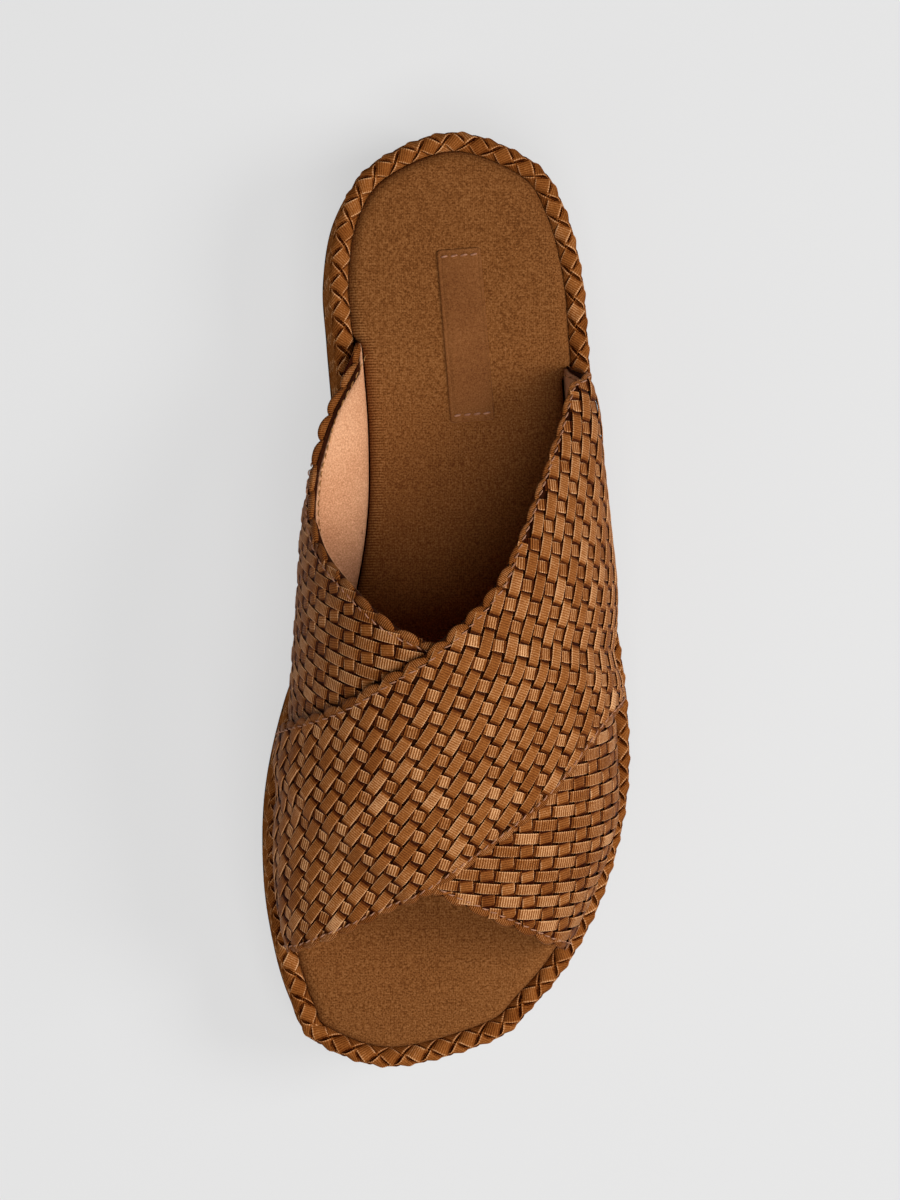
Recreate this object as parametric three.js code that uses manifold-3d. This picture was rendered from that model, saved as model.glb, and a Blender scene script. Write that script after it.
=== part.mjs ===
// Woven cross-strap platform sandal for a left foot, in millimetres.
// The toe points to -Y, the big-toe side is -X, and the outsole stands on Z = 0.
import * as THREE from 'three';
import { mergeVertices } from 'three/addons/utils/BufferGeometryUtils.js';
import Module from 'manifold-3d';

const wasm = await Module();
wasm.setup();
const { clamp, lerp, smoothstep } = THREE.MathUtils;

// Driving sizes of the last and the sole
const LENGTH = 260;
const BALL_WIDTH = 101.5;
const INSTEP_HEIGHT = 57.5;
const HEEL_HEIGHT = 38;
const BALL_HEIGHT = 30;
const TOE_SPRING = 6.5;

// Thicknesses of the pieces and the clearance between them
const OUTSOLE_THICKNESS = 3.5;
const INSOLE_THICKNESS = 5;
const INSOLE_ROUND = 2.2;
const WALL = 3;
const ROOT_WALL = 1.8;
const WELT_WIDTH = 4.8;
const WELT_HEIGHT = 4.6;
const SIDE_FLARE = 1.2;
const GAP = 0.3;

// Relief of the plaited ribbons
const WEAVE_RAISE = 0.45;
const WEAVE_SINK = 0.3;
const PLAIT_RAISE = 0.4;
const PLAIT_ROWS = 7;

// Points round the outline: outsole, insole, plaited pieces (two to a plait repeat) and measuring
const PLAIN_COUNT = 80;
const INSOLE_COUNT = 120;
const PLAIT_COUNT = 160;
const FINE_COUNT = 400;

// Outline of the rim: places along the length as shares of LENGTH, widths as shares of BALL_WIDTH
const HEEL_TIP = { along: 0.5, across: 0.01 };
const TOE_TIP = { along: -0.5, across: -0.163 };
const OUTLINE = [
  { along: 0.469, medial: -0.202, lateral: 0.228 },
  { along: 0.418, medial: -0.299, lateral: 0.315 },
  { along: 0.349, medial: -0.331, lateral: 0.361 },
  { along: 0.281, medial: -0.321, lateral: 0.377 },
  { along: 0.173, medial: -0.3, lateral: 0.397 },
  { along: 0.077, medial: -0.305, lateral: 0.427 },
  { along: -0.019, medial: -0.353, lateral: 0.46 },
  { along: -0.115, medial: -0.443, lateral: 0.494 },
  { along: -0.212, medial: -0.496, lateral: 0.495 },
  { along: -0.308, medial: -0.499, lateral: 0.437 },
  { along: -0.385, medial: -0.468, lateral: 0.341 },
  { along: -0.438, medial: -0.425, lateral: 0.229 },
  { along: -0.473, medial: -0.37, lateral: 0.12 },
];

// Side view of the sole: drop is the share of the heel-to-ball drop, spring the share of TOE_SPRING
const PROFILE = [
  { along: -0.52, drop: 1, topSpring: 0.75, floorSpring: 1.1 },
  { along: -0.45, drop: 1, topSpring: 0.4, floorSpring: 0.5 },
  { along: -0.35, drop: 1, topSpring: 0.1, floorSpring: 0.08 },
  { along: -0.29, drop: 1, topSpring: 0.02, floorSpring: 0 },
  { along: -0.2, drop: 1, topSpring: 0, floorSpring: 0 },
  { along: -0.07, drop: 0.78, topSpring: 0, floorSpring: 0 },
  { along: 0.08, drop: 0.3, topSpring: 0, floorSpring: 0 },
  { along: 0.18, drop: 0.05, topSpring: 0, floorSpring: 0 },
  { along: 0.26, drop: 0, topSpring: 0, floorSpring: 0 },
  { along: 0.44, drop: 0, topSpring: 0, floorSpring: 0 },
  { along: 0.52, drop: 0, topSpring: 0, floorSpring: 0.22 },
];

// Cross sections of the last: the widest place on either side and the crown of the arch,
// widths as shares of BALL_WIDTH, heights over the footbed as shares of INSTEP_HEIGHT
const SECTIONS = [
  { along: -0.42, medial: -0.385, lateral: 0.22, sideHeight: 0.13, crownAcross: -0.08, crownHeight: 0.44 },
  { along: -0.377, medial: -0.416, lateral: 0.276, sideHeight: 0.14, crownAcross: -0.08, crownHeight: 0.5 },
  { along: -0.308, medial: -0.445, lateral: 0.358, sideHeight: 0.17, crownAcross: -0.08, crownHeight: 0.61 },
  { along: -0.231, medial: -0.45, lateral: 0.42, sideHeight: 0.2, crownAcross: -0.08, crownHeight: 0.745 },
  { along: -0.154, medial: -0.417, lateral: 0.415, sideHeight: 0.22, crownAcross: -0.08, crownHeight: 0.87 },
  { along: -0.077, medial: -0.404, lateral: 0.4, sideHeight: 0.23, crownAcross: -0.08, crownHeight: 0.975 },
  { along: 0, medial: -0.39, lateral: 0.412, sideHeight: 0.24, crownAcross: -0.074, crownHeight: 1 },
  { along: 0.077, medial: -0.378, lateral: 0.392, sideHeight: 0.25, crownAcross: -0.069, crownHeight: 0.885 },
  { along: 0.142, medial: -0.354, lateral: 0.372, sideHeight: 0.28, crownAcross: -0.06, crownHeight: 0.71 },
  { along: 0.208, medial: -0.352, lateral: 0.352, sideHeight: 0.28, crownAcross: -0.05, crownHeight: 0.54 },
  { along: 0.3, medial: -0.285, lateral: 0.275, sideHeight: 0.22, crownAcross: -0.04, crownHeight: 0.36 },
];

// Edges of the two bands as shares of LENGTH; around runs from the medial root (0) over the crown
// (0.5) to the lateral root (1). The over band lies on the under band.
const BANDS = [
  { around: 0, overCollar: -0.138, overFront: -0.377, underCollar: 0.285, underFront: -0.136 },
  { around: 0.08, overCollar: -0.137, overFront: -0.375, underCollar: 0.253, underFront: -0.15 },
  { around: 0.15, overCollar: -0.135, overFront: -0.373, underCollar: 0.156, underFront: -0.165 },
  { around: 0.25, overCollar: -0.123, overFront: -0.367, underCollar: 0.067, underFront: -0.185 },
  { around: 0.35, overCollar: -0.102, overFront: -0.348, underCollar: 0.016, underFront: -0.215 },
  { around: 0.43, overCollar: -0.071, overFront: -0.325, underCollar: -0.021, underFront: -0.256 },
  { around: 0.5, overCollar: -0.039, overFront: -0.298, underCollar: -0.041, underFront: -0.299 },
  { around: 0.57, overCollar: 0.017, overFront: -0.252, underCollar: -0.064, underFront: -0.324 },
  { around: 0.65, overCollar: 0.13, overFront: -0.194, underCollar: -0.078, underFront: -0.346 },
  { around: 0.72, overCollar: 0.213, overFront: -0.14, underCollar: -0.085, underFront: -0.36 },
  { around: 0.78, overCollar: 0.229, overFront: -0.119, underCollar: -0.09, underFront: -0.366 },
  { around: 0.85, overCollar: 0.238, overFront: -0.113, underCollar: -0.096, underFront: -0.37 },
  { around: 1, overCollar: 0.256, overFront: -0.108, underCollar: -0.106, underFront: -0.373 },
];

// Weave of each band on the flattened last: the step from one ribbon to the next of either set, the
// bow of the ribbons towards the heel on both sides of a place across, and their turn towards the
// medial side behind TURN_FROM
const WEAVES = {
  over: { warpStep: { x: 3.14, y: -1.27 }, weftStep: { x: 3.07, y: 4.4 }, bow: 0.0023, middle: -20, turn: 0.003 },
  under: { warpStep: { x: 0.25, y: -3.53 }, weftStep: { x: 5.62, y: -0.59 }, bow: 0.003, middle: 12, turn: 0 },
};
const TURN_FROM = -55;

// How far around the section the straight root ends and the widest place lies
const ROOT_SHARE = 0.04;
const SIDE_SHARE = 0.15;
const ROOT_HEIGHT = 8.4;
const BAND_ENDS = { rear: 0.285, lateralRear: 0.256, front: -0.377 };
const LIFT_RAMP = 12;
const BAND_BOND = 1;

// Label patch on the heel of the footbed
const LABEL = { length: 48, width: 12.2, thickness: 0.8, x: 4.1, y: 73.6, turnDegrees: 4.8 };

// Smooth curve through one column of a table whose rows ascend by their key
function column(rows, key, name) {
  const slopes = rows.map((row, i) => {
    const before = rows[Math.max(i - 1, 0)];
    const after = rows[Math.min(i + 1, rows.length - 1)];
    return (after[name] - before[name]) / (after[key] - before[key]);
  });
  return (at) => {
    let i = 0;
    while (i < rows.length - 2 && at > rows[i + 1][key]) i += 1;
    const span = rows[i + 1][key] - rows[i][key];
    const s = clamp((at - rows[i][key]) / span, 0, 1);
    const rise = s * s * (3 - 2 * s);
    const leave = s * (1 - s) * (1 - s) * span * slopes[i];
    const arrive = s * s * (1 - s) * span * slopes[i + 1];
    return lerp(rows[i][name], rows[i + 1][name], rise) + leave - arrive;
  };
}

const profile = {};
for (const name of ['drop', 'topSpring', 'floorSpring']) profile[name] = column(PROFILE, 'along', name);
const section = {};
for (const name of ['medial', 'lateral', 'sideHeight', 'crownAcross', 'crownHeight']) {
  section[name] = column(SECTIONS, 'along', name);
}
const edge = {};
for (const name of ['overCollar', 'overFront', 'underCollar', 'underFront']) {
  const share = column(BANDS, 'around', name);
  edge[name] = (around) => share(clamp(around, 0, 1)) * LENGTH;
}

// Height of the floor side of the outsole, and of the platform's top under the insole
const floorHeight = (y) => Math.max(0, profile.floorSpring(y / LENGTH) * TOE_SPRING);
function platformTop(y) {
  const footbed = lerp(HEEL_HEIGHT, BALL_HEIGHT, profile.drop(y / LENGTH));
  return footbed - INSOLE_THICKNESS + profile.topSpring(y / LENGTH) * TOE_SPRING;
}

// The rim's outline as evenly spaced points, from the heel tip round by the medial side, fitted
// exactly to LENGTH and BALL_WIDTH
function soleOutline(count) {
  const across = (share, along) => new THREE.Vector3(share * BALL_WIDTH, along * LENGTH, 0);
  const curve = new THREE.CatmullRomCurve3([
    across(HEEL_TIP.across, HEEL_TIP.along),
    ...OUTLINE.map((row) => across(row.medial, row.along)),
    across(TOE_TIP.across, TOE_TIP.along),
    ...OUTLINE.toReversed().map((row) => across(row.lateral, row.along)),
  ], true, 'catmullrom', 0.5);
  curve.arcLengthDivisions = 5 * FINE_COUNT;
  const box = new THREE.Box3().setFromPoints(curve.getPoints(curve.arcLengthDivisions));
  const centre = box.getCenter(new THREE.Vector3());
  const size = box.getSize(new THREE.Vector3());
  const points = curve.getSpacedPoints(count).slice(0, count);
  const fit = new THREE.Vector3(BALL_WIDTH / size.x, LENGTH / size.y, 1);
  return points.map((point) => point.sub(centre).multiply(fit));
}

// An outline moved outward by a distance that may depend on the place along the length
function offsetOutline(outline, distance) {
  return outline.map((point, i) => {
    const before = outline.at(i - 1);
    const after = outline[(i + 1) % outline.length];
    const along = after.clone().sub(before).normalize();
    const outward = new THREE.Vector3(along.y, -along.x, 0);
    return point.clone().addScaledVector(outward, distance(point.y, i));
  });
}

// A closed geometry from points and triangles, with its faces pointing out
function closedGeometry(points, triangles) {
  let volume = 0;
  for (const [a, b, c] of triangles) {
    volume += points[a].clone().cross(points[b]).dot(points[c]);
  }
  const outward = volume > 0 ? triangles : triangles.map(([a, b, c]) => [a, c, b]);
  const geometry = new THREE.BufferGeometry();
  geometry.setAttribute('position', new THREE.Float32BufferAttribute(points.flatMap((p) => p.toArray()), 3));
  geometry.setIndex(outward.flat());
  return geometry;
}

// A solid of stacked rings of equal count, capped by strips between their two sides
function ringSolid(rings) {
  const count = rings[0].length;
  const triangles = [];
  for (let k = 0; k < rings.length - 1; k += 1) {
    for (let i = 0; i < count; i += 1) {
      const next = (i + 1) % count;
      const [a, b] = [k * count + i, k * count + next];
      triangles.push([a, b, b + count], [a, b + count, a + count]);
    }
  }
  const top = (rings.length - 1) * count;
  for (let i = 0; i < count / 2; i += 1) {
    const [left, right] = [[i, i + 1], [(count - i) % count, count - i - 1]];
    if (left[1] !== right[1]) {
      triangles.push([left[1], left[0], right[1]], [top + left[0], top + left[1], top + right[1]]);
    }
    if (left[0] !== right[0]) {
      triangles.push([right[1], left[0], right[0]], [top + left[0], top + right[1], top + right[0]]);
    }
  }
  return closedGeometry(rings.flat(), triangles);
}

// A solid swept round a closed outline: each ring of sections holds the same count of points
function hoopSolid(sections) {
  const count = sections[0].length;
  const triangles = [];
  sections.forEach((points, i) => {
    const here = i * count;
    const there = ((i + 1) % sections.length) * count;
    for (let j = 0; j < count; j += 1) {
      const next = (j + 1) % count;
      triangles.push([here + j, there + j, there + next], [here + j, there + next, here + next]);
    }
  });
  return closedGeometry(sections.flat(), triangles);
}

const plainOutline = soleOutline(PLAIN_COUNT);
const plaitOutline = soleOutline(PLAIT_COUNT);

// Outsole: thin sheet with a bevelled lower edge
function makeOutsole() {
  const bevel = 1.6;
  const levels = [
    { out: SIDE_FLARE - bevel, up: 0 },
    { out: SIDE_FLARE, up: bevel },
    { out: SIDE_FLARE, up: OUTSOLE_THICKNESS },
  ];
  return ringSolid(levels.map(({ out, up }) => offsetOutline(plainOutline, () => out)
    .map((point) => point.setZ(floorHeight(point.y) + up))));
}

// Platform: flared side with the ribbons of the plait raised in turn
function makePlatform() {
  const rings = [];
  for (let row = 0; row <= PLAIT_ROWS; row += 1) {
    const share = row / PLAIT_ROWS;
    const relief = (i) => ((i + row) % 2 === 0 ? PLAIT_RAISE : -PLAIT_RAISE);
    const distance = (y, i) => lerp(SIDE_FLARE - PLAIT_RAISE, -PLAIT_RAISE, share) + relief(i);
    rings.push(offsetOutline(plaitOutline, distance).map((point) => {
      const low = floorHeight(point.y) + OUTSOLE_THICKNESS + GAP;
      return point.setZ(lerp(low, platformTop(point.y), share));
    }));
  }
  return ringSolid(rings);
}

// Welt: rounded plaited rim on the platform's top edge
function makeWelt() {
  const corners = [
    { in: WELT_WIDTH - 0.4, up: GAP, plait: 0 },
    { in: WELT_WIDTH, up: WELT_HEIGHT * 0.5, plait: 0 },
    { in: WELT_WIDTH * 0.82, up: WELT_HEIGHT * 0.9, plait: 1 },
    { in: WELT_WIDTH * 0.45, up: WELT_HEIGHT, plait: -1 },
    { in: WELT_WIDTH * 0.1, up: WELT_HEIGHT * 0.75, plait: 1 },
    { in: 0, up: GAP, plait: 0 },
  ];
  const hoops = corners.map((corner) => {
    const relief = (i) => (i % 2 === 0 ? 1 : -1) * corner.plait * PLAIT_RAISE;
    return offsetOutline(plaitOutline, () => -corner.in)
      .map((point, i) => point.setZ(platformTop(point.y) + corner.up + relief(i)));
  });
  return hoopSolid(plaitOutline.map((point, i) => hoops.map((hoop) => hoop[i])));
}

// Insole: fills the rim, and draws in by the wall where the bands stand beside it
function insoleInset(y, lateral) {
  const along = y / LENGTH;
  const rearEnd = lateral ? BAND_ENDS.lateralRear : BAND_ENDS.rear;
  const rear = 1 - smoothstep(along, rearEnd + 0.012, rearEnd + 0.045);
  const front = smoothstep(along, BAND_ENDS.front - 0.045, BAND_ENDS.front - 0.012);
  return WELT_WIDTH + GAP + rear * front * (ROOT_WALL + 3 * GAP);
}

function makeInsole() {
  const levels = [
    { in: 0.5, up: GAP },
    { in: 0, up: INSOLE_THICKNESS - INSOLE_ROUND },
    { in: INSOLE_ROUND * 0.3, up: INSOLE_THICKNESS - INSOLE_ROUND * 0.3 },
    { in: INSOLE_ROUND, up: INSOLE_THICKNESS },
  ];
  const outline = soleOutline(INSOLE_COUNT);
  const inset = (y, i) => insoleInset(y, i > INSOLE_COUNT / 2);
  return ringSolid(levels.map((level) => offsetOutline(outline, (y, i) => -inset(y, i) - level.in)
    .map((point) => point.setZ(platformTop(point.y) + level.up))));
}

function makeLabel() {
  return new THREE.BoxGeometry(LABEL.width, LABEL.length, LABEL.thickness);
}

// Where the inner face of the wall stands in the groove beside the insole
const rootOutline = offsetOutline(soleOutline(FINE_COUNT), () => -(WELT_WIDTH + 2 * GAP + ROOT_WALL));

function rootAcross(y, lateral) {
  const half = rootOutline.length / 2;
  const start = lateral ? half : 0;
  for (let i = start; i < start + half; i += 1) {
    const a = rootOutline[i];
    const b = rootOutline[(i + 1) % rootOutline.length];
    if ((a.y - y) * (b.y - y) <= 0) return lerp(a.x, b.x, (y - a.y) / (b.y - a.y));
  }
  return 0;
}

// Point of the last, which is the wall's inner face: around runs from the medial root over the
// crown to the lateral root
function lastPoint(around, y) {
  const along = y / LENGTH;
  const lateral = around > 0.5;
  const climb = lateral ? 1 - around : around;
  const root = rootAcross(y, lateral);
  const floor = platformTop(y) + GAP;
  if (climb < ROOT_SHARE) return new THREE.Vector3(root, y, floor + (climb / ROOT_SHARE) * ROOT_HEIGHT);
  const wide = (lateral ? section.lateral(along) : section.medial(along)) * BALL_WIDTH;
  const sideHeight = section.sideHeight(along) * INSTEP_HEIGHT + INSOLE_THICKNESS;
  if (climb < SIDE_SHARE) {
    const share = (climb - ROOT_SHARE) / (SIDE_SHARE - ROOT_SHARE);
    const across = lerp(root, wide, share * share * (3 - 2 * share));
    return new THREE.Vector3(across, y, floor + lerp(ROOT_HEIGHT, sideHeight, share));
  }
  const angle = ((climb - SIDE_SHARE) / (0.5 - SIDE_SHARE)) * (Math.PI / 2);
  const crown = section.crownAcross(along) * BALL_WIDTH;
  const crownHeight = section.crownHeight(along) * INSTEP_HEIGHT + INSOLE_THICKNESS;
  const height = lerp(sideHeight, crownHeight, Math.sin(angle));
  return new THREE.Vector3(lerp(crown, wide, Math.cos(angle)), y, floor + height);
}

// Point at a distance outside the last, along its normal
function wallPoint(around, y, outward) {
  const [da, dy] = [0.002, 0.5];
  const acrossStep = lastPoint(around + da, y).sub(lastPoint(around - da, y));
  const alongStep = lastPoint(around, y + dy).sub(lastPoint(around, y - dy));
  const normal = acrossStep.cross(alongStep).normalize();
  return lastPoint(around, y).addScaledVector(normal, outward);
}

// Thickness of the wall, which is thinner in the groove
function wallAt(around) {
  return lerp(ROOT_WALL, WALL, smoothstep(Math.min(around, 1 - around), ROOT_SHARE, SIDE_SHARE));
}

// Height of the over band above the last, where it climbs over the under band
function bandLift(name, around, y) {
  if (name === 'under') return 0;
  const inside = Math.min(edge.underCollar(around) - y, y - edge.underFront(around));
  const climb = Math.min(around, 1 - around);
  return WALL * smoothstep(inside, -LIFT_RAMP, 0) * smoothstep(climb, ROOT_SHARE, SIDE_SHARE);
}

// Smooth slab with the band's edges and its lining face
function bandSlab(name) {
  const [steps, columns] = [44, 8];
  const cover = 1.5;
  const faces = [];
  for (const outer of [false, true]) {
    const grid = [];
    for (let i = 0; i <= steps; i += 1) {
      const around = i / steps;
      for (let j = 0; j <= columns; j += 1) {
        const y = lerp(edge[`${name}Collar`](around), edge[`${name}Front`](around), j / columns);
        const lift = bandLift(name, around, y);
        const outward = outer ? lift + WALL + cover : lift * (1 - BAND_BOND / WALL);
        grid.push(wallPoint(around, y, outward));
      }
    }
    faces.push(grid);
  }
  const width = columns + 1;
  const layer = faces[0].length;
  const triangles = [];
  const quad = (a, b, c, d) => triangles.push([a, b, c], [a, c, d]);
  for (let i = 0; i < steps; i += 1) {
    for (let j = 0; j < columns; j += 1) {
      const a = i * width + j;
      quad(a, a + 1, a + width + 1, a + width);
      quad(layer + a, layer + a + width, layer + a + width + 1, layer + a + 1);
    }
    const [collar, front] = [i * width, i * width + columns];
    quad(collar, collar + width, layer + collar + width, layer + collar);
    quad(front, layer + front, layer + front + width, front + width);
  }
  for (let j = 0; j < columns; j += 1) {
    const last = steps * width + j;
    quad(j, layer + j, layer + j + 1, j + 1);
    quad(last, last + 1, layer + last + 1, layer + last);
  }
  return closedGeometry(faces.flat(), triangles);
}

// The place around the section that lies a flat distance from the crown
function aroundAt(distance, y) {
  const [reach, step] = [0.56, 0.01];
  const sign = Math.sign(distance) || 1;
  let length = 0;
  let before = lastPoint(0.5, y);
  for (let offset = step; offset <= reach; offset += step) {
    const point = lastPoint(0.5 + sign * offset, y);
    const piece = point.distanceTo(before);
    if (length + piece >= Math.abs(distance)) {
      return 0.5 + sign * (offset - step + (step * (Math.abs(distance) - length)) / piece);
    }
    length += piece;
    before = point;
  }
  return null;
}

// Thick sheet of the weave, larger than its band: every second crossing is raised
function weaveSheet(name) {
  const { warpStep, weftStep, bow, middle, turn } = WEAVES[name];
  const reach = 70;
  const margin = 9;
  const under = 1.5;
  const points = [];
  const nodes = new Map();
  for (let i = -reach; i <= reach; i += 1) {
    for (let j = -reach; j <= reach; j += 1) {
      const flat = i * warpStep.x + j * weftStep.x;
      const straight = i * warpStep.y + j * weftStep.y + (BAND_ENDS.rear + BAND_ENDS.front) * LENGTH * 0.5;
      const y = straight + bow * (flat - middle) ** 2;
      const across = flat - turn * Math.max(y - TURN_FROM, 0) ** 2;
      if (y > BAND_ENDS.rear * LENGTH + margin || y < BAND_ENDS.front * LENGTH - margin) continue;
      const around = aroundAt(across, y);
      if (around === null) continue;
      if (y > edge[`${name}Collar`](around) + margin) continue;
      if (y < edge[`${name}Front`](around) - margin) continue;
      const covered = name === 'under'
        && Math.min(edge.overCollar(around) - y, y - edge.overFront(around)) > -GAP;
      const clear = covered ? 0 : smoothstep(Math.min(around, 1 - around), ROOT_SHARE, 2 * ROOT_SHARE);
      const relief = clear * ((i + j) % 2 === 0 ? WEAVE_RAISE : -WEAVE_SINK);
      const lift = bandLift(name, around, y);
      nodes.set(`${i},${j}`, points.length / 2);
      points.push(wallPoint(around, y, lift + wallAt(around) + relief));
      points.push(wallPoint(around, y, lift - under));
    }
  }
  const triangles = [];
  const borders = new Map();
  const border = (a, b) => {
    if (borders.has(`${b},${a}`)) borders.delete(`${b},${a}`);
    else borders.set(`${a},${b}`, [a, b]);
  };
  for (const [key, a] of nodes) {
    const [i, j] = key.split(',').map(Number);
    const [b, c, d] = [[i + 1, j], [i + 1, j + 1], [i, j + 1]].map((cell) => nodes.get(cell.join(',')));
    if (b === undefined || c === undefined || d === undefined) continue;
    const halves = (i + j) % 2 === 0 ? [[a, b, d], [b, c, d]] : [[a, b, c], [a, c, d]];
    for (const half of halves) {
      triangles.push(half.map((n) => 2 * n), half.map((n) => 2 * n + 1).reverse());
    }
    [[a, b], [b, c], [c, d], [d, a]].forEach(([from, to]) => border(from, to));
  }
  for (const [a, b] of borders.values()) {
    triangles.push([2 * b, 2 * a, 2 * a + 1], [2 * b, 2 * a + 1, 2 * b + 1]);
  }
  return closedGeometry(points, triangles);
}

function toSolid(geometry) {
  const merged = mergeVertices(geometry, 1e-4);
  return new wasm.Manifold(new wasm.Mesh({
    numProp: 3,
    vertProperties: merged.attributes.position.array,
    triVerts: Uint32Array.from(merged.index.array),
  }));
}

function toGeometry(solid) {
  const mesh = solid.getMesh();
  const geometry = new THREE.BufferGeometry();
  geometry.setAttribute('position', new THREE.BufferAttribute(Float32Array.from(mesh.vertProperties), 3));
  geometry.setIndex([...mesh.triVerts]);
  return geometry;
}

// Upper: both woven bands, joined where the over band lies on the under band
function makeUpper() {
  const [over, under] = ['over', 'under'].map((name) => (
    toSolid(weaveSheet(name)).intersect(toSolid(bandSlab(name)))
  ));
  return toGeometry(over.add(under));
}

const RIBBON = new THREE.MeshStandardMaterial({ color: 0x83502a, roughness: 0.55, metalness: 0 });
const CLOTH = new THREE.MeshStandardMaterial({ color: 0x76481f, roughness: 0.85, metalness: 0 });
const RUBBER = new THREE.MeshStandardMaterial({ color: 0x5a3a1e, roughness: 0.8, metalness: 0 });

const sandal = new THREE.Group();
function addPiece(name, geometry, material) {
  const mesh = new THREE.Mesh(geometry, material.clone());
  mesh.name = name;
  sandal.add(mesh);
  return mesh;
}

addPiece('outsole', makeOutsole(), RUBBER);
addPiece('platform', makePlatform(), RIBBON);
addPiece('welt_braid', makeWelt(), RIBBON);
addPiece('insole', makeInsole(), CLOTH);
addPiece('upper', makeUpper(), RIBBON);
const label = addPiece('insole_label', makeLabel(), CLOTH);
label.rotation.z = THREE.MathUtils.degToRad(LABEL.turnDegrees);
label.position.set(LABEL.x, LABEL.y, HEEL_HEIGHT + GAP + LABEL.thickness / 2);

export default sandal;
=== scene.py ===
import math

import bpy
import numpy as np
from mathutils import Matrix, Vector


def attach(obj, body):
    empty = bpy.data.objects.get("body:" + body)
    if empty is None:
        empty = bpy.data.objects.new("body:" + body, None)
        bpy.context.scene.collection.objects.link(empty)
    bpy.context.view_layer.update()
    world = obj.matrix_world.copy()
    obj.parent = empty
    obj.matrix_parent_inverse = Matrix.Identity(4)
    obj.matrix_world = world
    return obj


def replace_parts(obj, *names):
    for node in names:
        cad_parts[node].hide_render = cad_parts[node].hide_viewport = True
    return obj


# Looks of a woven cross-strap platform sandal for a left foot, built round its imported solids.
# Lengths here are in millimetres; the toe points to -Y and the big-toe side is -X.
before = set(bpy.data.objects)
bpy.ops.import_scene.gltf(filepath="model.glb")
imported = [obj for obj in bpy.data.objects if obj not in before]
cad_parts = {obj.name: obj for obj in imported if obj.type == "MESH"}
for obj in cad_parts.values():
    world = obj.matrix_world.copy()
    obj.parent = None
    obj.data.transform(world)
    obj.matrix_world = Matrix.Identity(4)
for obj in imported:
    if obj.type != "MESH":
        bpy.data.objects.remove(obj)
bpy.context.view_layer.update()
MM = 0.001
rng = np.random.default_rng(11)

# Sizes of the last and the sole, as in the solids
LENGTH, BALL_WIDTH, INSTEP_HEIGHT = 260.0, 101.5, 57.5
HEEL_HEIGHT, BALL_HEIGHT, TOE_SPRING = 38.0, 30.0, 6.5
OUTSOLE_THICKNESS, INSOLE_THICKNESS, INSOLE_ROUND = 3.5, 5.0, 2.2
WALL, ROOT_WALL, WELT_WIDTH, SIDE_FLARE, GAP = 3.0, 1.8, 4.8, 1.2, 0.3
ROOT_SHARE, SIDE_SHARE, ROOT_HEIGHT, LIFT_RAMP, BAND_BOND = 0.04, 0.15, 8.4, 12.0, 1.0
BAND_REAR, LATERAL_REAR, BAND_FRONT = 0.285, 0.256, -0.377
LABEL_LENGTH, LABEL_WIDTH, LABEL_AT, LABEL_TURN = 48.0, 12.2, (4.1, 73.6), math.radians(4.8)

# Outline of the rim: along as shares of LENGTH, medial and lateral as shares of BALL_WIDTH
HEEL_TIP = (0.01, 0.5)
TOE_TIP = (-0.163, -0.5)
OUTLINE = np.array([
    (0.469, -0.202, 0.228), (0.418, -0.299, 0.315), (0.349, -0.331, 0.361), (0.281, -0.321, 0.377),
    (0.173, -0.3, 0.397), (0.077, -0.305, 0.427), (-0.019, -0.353, 0.46), (-0.115, -0.443, 0.494),
    (-0.212, -0.496, 0.495), (-0.308, -0.499, 0.437), (-0.385, -0.468, 0.341), (-0.438, -0.425, 0.229),
    (-0.473, -0.37, 0.12),
])

# Side view of the sole: along, share of the drop, springs of the top and of the floor side
PROFILE = np.array([
    (-0.52, 1, 0.75, 1.1), (-0.45, 1, 0.4, 0.5), (-0.35, 1, 0.1, 0.08), (-0.29, 1, 0.02, 0),
    (-0.2, 1, 0, 0), (-0.07, 0.78, 0, 0), (0.08, 0.3, 0, 0), (0.18, 0.05, 0, 0), (0.26, 0, 0, 0),
    (0.44, 0, 0, 0), (0.52, 0, 0, 0.22),
])

# Cross sections of the last: along, medial, lateral, side height, crown across, crown height
SECTIONS = np.array([
    (-0.42, -0.385, 0.22, 0.13, -0.08, 0.44), (-0.377, -0.416, 0.276, 0.14, -0.08, 0.5),
    (-0.308, -0.445, 0.358, 0.17, -0.08, 0.61), (-0.231, -0.45, 0.42, 0.2, -0.08, 0.745),
    (-0.154, -0.417, 0.415, 0.22, -0.08, 0.87), (-0.077, -0.404, 0.4, 0.23, -0.08, 0.975),
    (0, -0.39, 0.412, 0.24, -0.074, 1), (0.077, -0.378, 0.392, 0.25, -0.069, 0.885),
    (0.142, -0.354, 0.372, 0.28, -0.06, 0.71), (0.208, -0.352, 0.352, 0.28, -0.05, 0.54),
    (0.3, -0.285, 0.275, 0.22, -0.04, 0.36),
])

# Band edges as shares of LENGTH: around, over collar, over front, under collar, under front
BANDS = np.array([
    (0, -0.138, -0.377, 0.285, -0.136), (0.08, -0.137, -0.375, 0.253, -0.15),
    (0.15, -0.135, -0.373, 0.156, -0.165), (0.25, -0.123, -0.367, 0.067, -0.185),
    (0.35, -0.102, -0.348, 0.016, -0.215), (0.43, -0.071, -0.325, -0.021, -0.256),
    (0.5, -0.039, -0.298, -0.041, -0.299), (0.57, 0.017, -0.252, -0.064, -0.324),
    (0.65, 0.13, -0.194, -0.078, -0.346), (0.72, 0.213, -0.14, -0.085, -0.36),
    (0.78, 0.229, -0.119, -0.09, -0.366), (0.85, 0.238, -0.113, -0.096, -0.37),
    (1, 0.256, -0.108, -0.106, -0.373),
])

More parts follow.
